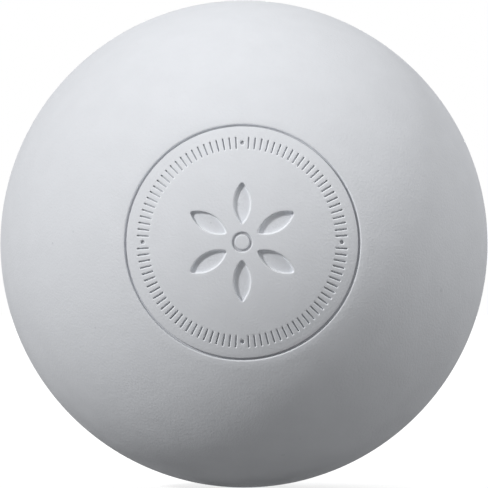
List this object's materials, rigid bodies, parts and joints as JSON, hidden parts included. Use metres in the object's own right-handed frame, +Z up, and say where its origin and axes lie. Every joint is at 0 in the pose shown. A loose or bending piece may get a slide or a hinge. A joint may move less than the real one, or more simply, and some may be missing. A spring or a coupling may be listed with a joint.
{
  "type": "lacrosse ball",
  "caption": "Solid rubber lacrosse ball: a firm core in a smooth matte cover moulded in halves, with a shallow ring medallion on one side and a faint parting line.",
  "frame": {"origin": "centre of the ball", "axes": "-Y out through the middle of the medallion, +Z up, +X to the right seen from the medallion's side; the mould's parting plane is Y = 0"},
  "size_m": [0.0634, 0.0636, 0.0634],
  "materials": {
    "cover_rubber": "matte, finely blasted mould finish",
    "core_rubber": "dense crumb rubber"
  },
  "bodies": {
    "root": {"rubber_core": "core_rubber", "front_cover": "cover_rubber", "rear_cover": "cover_rubber"}
  },
  "joints": []
}
